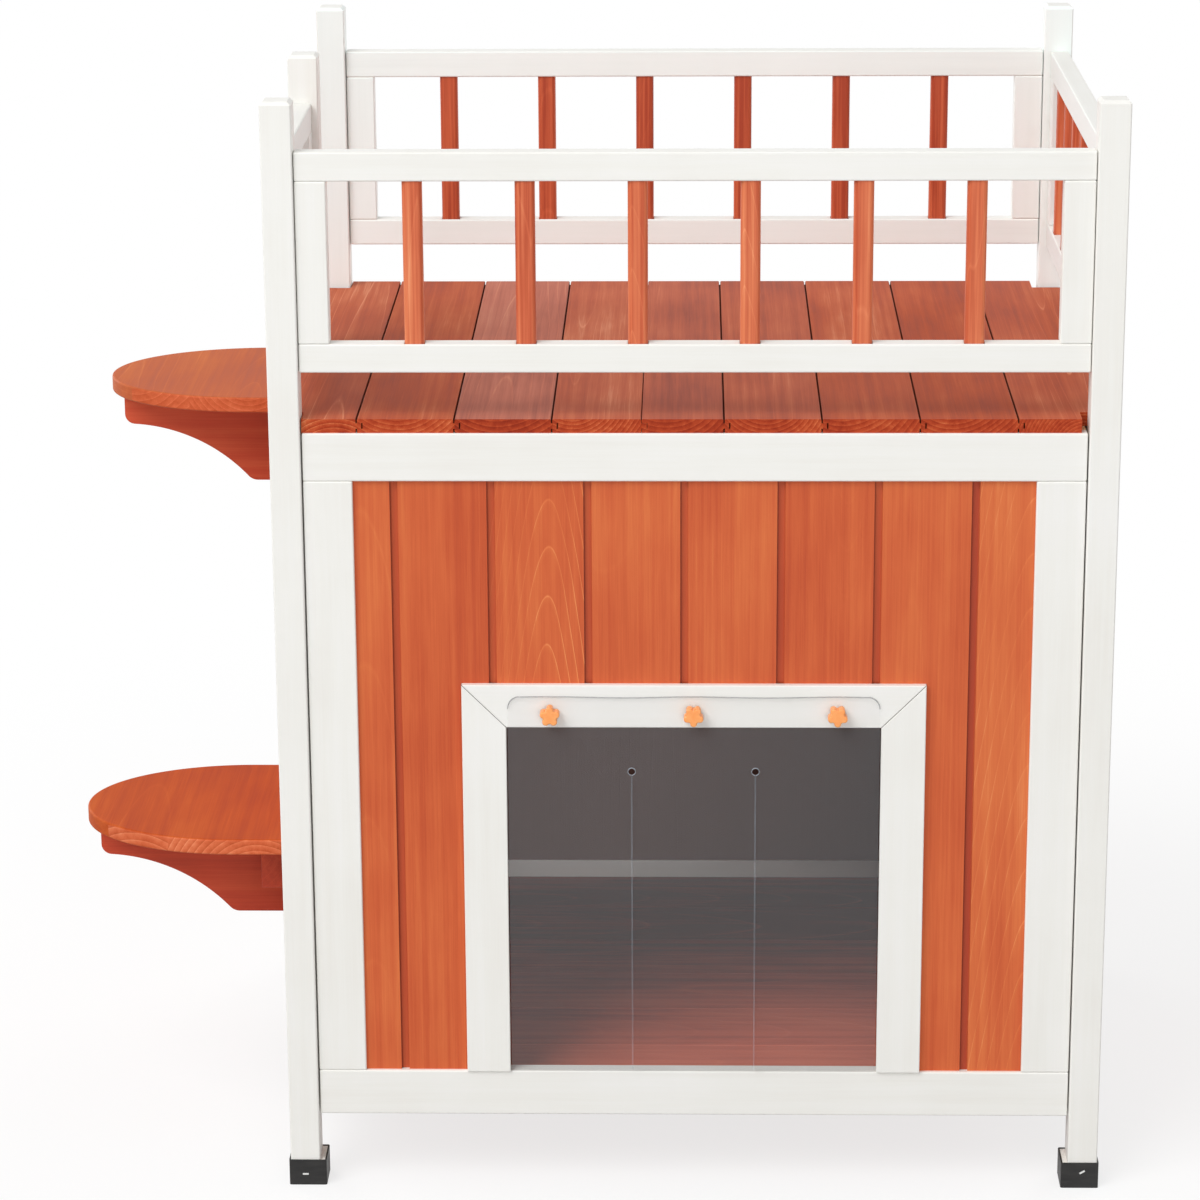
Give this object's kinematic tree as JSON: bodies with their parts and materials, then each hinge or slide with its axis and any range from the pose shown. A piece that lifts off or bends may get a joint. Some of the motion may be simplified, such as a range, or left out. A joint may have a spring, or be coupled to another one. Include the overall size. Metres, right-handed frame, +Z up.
{
  "type": "outdoor cat house",
  "caption": "Timber cat house with a boarded room, clear strip flap in a trimmed doorway, railed roof balcony and two jump steps up one side.",
  "frame": {"origin": "on the ground under the middle of the whole outline, steps included", "axes": "+Z up, the doorway faces -Y, the steps are on the -X side"},
  "size_m": [0.7592, 0.4704, 0.814],
  "materials": {
    "white_paint": "white painted softwood",
    "stained_wood": "orange-red stained softwood, satin",
    "bare_wood": "plain softwood",
    "black_plastic": "moulded",
    "packing": "light grey, plain",
    "clear_pvc": "clear flexible sheet",
    "orange_plastic": "moulded",
    "steel": "plated"
  },
  "bodies": {
    "house": {"post_front_left": "white_paint", "post_front_right": "white_paint", "post_back_left": "white_paint", "post_back_right": "white_paint", "post_middle_left": "white_paint", "front_top_rail": "white_paint", "front_bottom_rail": "white_paint", "front_stiles": "white_paint", "back_top_rail": "white_paint", "back_bottom_rail": "white_paint", "back_stiles": "white_paint", "left_top_rail": "white_paint", "left_bottom_rail": "white_paint", "left_stiles": "white_paint", "right_top_rail": "white_paint", "right_bottom_rail": "white_paint", "right_stiles": "white_paint", "door_trim_head": "white_paint", "door_trim_left": "white_paint", "door_trim_right": "white_paint", "front_railing_lower_rail": "white_paint", "front_railing_upper_rail": "white_paint", "front_railing_stiles": "white_paint", "back_railing_frame": "white_paint", "right_railing_frame": "white_paint", "left_railing_frame": "white_paint", "front_boards": "stained_wood", "back_boards": "stained_wood", "left_boards": "stained_wood", "right_boards": "stained_wood", "floor_boards": "stained_wood", "deck_boards": "stained_wood", "front_balusters": "stained_wood", "back_balusters": "stained_wood", "right_balusters": "stained_wood", "left_balusters": "stained_wood", "lower_step_shelf": "stained_wood", "lower_step_bracket": "stained_wood", "lower_step_cleat": "stained_wood", "upper_step_shelf": "stained_wood", "upper_step_bracket": "stained_wood", "upper_step_cleat": "stained_wood", "floor_battens": "bare_wood", "deck_battens": "bare_wood", "foot_front_left": "black_plastic", "foot_front_right": "black_plastic", "foot_back_left": "black_plastic", "foot_back_right": "black_plastic", "foot_shims": "packing", "flap_header": "clear_pvc", "foot_staples": "steel", "knob_bolts": "steel"},
    "flap_left": {"flap_strip_left": "clear_pvc"},
    "flap_middle": {"flap_strip_middle": "clear_pvc"},
    "flap_right": {"flap_strip_right": "clear_pvc"},
    "knob_left_body": {"knob_left": "orange_plastic"},
    "knob_middle_body": {"knob_middle": "orange_plastic"},
    "knob_right_body": {"knob_right": "orange_plastic"}
  },
  "joints": [
    {"name": "flap_left_swing", "type": "hinge", "parent": "house", "child": "flap_left", "pos_m": [-0.01093, -0.22595, 0.327], "axis": [1, 0, 0], "range_deg": [-80, 80]},
    {"name": "flap_middle_swing", "type": "hinge", "parent": "house", "child": "flap_middle", "pos_m": [0.0784, -0.22595, 0.327], "axis": [1, 0, 0], "range_deg": [-80, 80]},
    {"name": "flap_right_swing", "type": "hinge", "parent": "house", "child": "flap_right", "pos_m": [0.16773, -0.22595, 0.327], "axis": [1, 0, 0], "range_deg": [-80, 80]},
    {"name": "knob_left_turn", "type": "hinge", "parent": "house", "child": "knob_left_body", "pos_m": [-0.0249, -0.23095, 0.371], "axis": [0, 1, 0], "continuous": true},
    {"name": "knob_middle_turn", "type": "hinge", "parent": "house", "child": "knob_middle_body", "pos_m": [0.0784, -0.23095, 0.371], "axis": [0, 1, 0], "continuous": true},
    {"name": "knob_right_turn", "type": "hinge", "parent": "house", "child": "knob_right_body", "pos_m": [0.1817, -0.23095, 0.371], "axis": [0, 1, 0], "continuous": true}
  ]
}
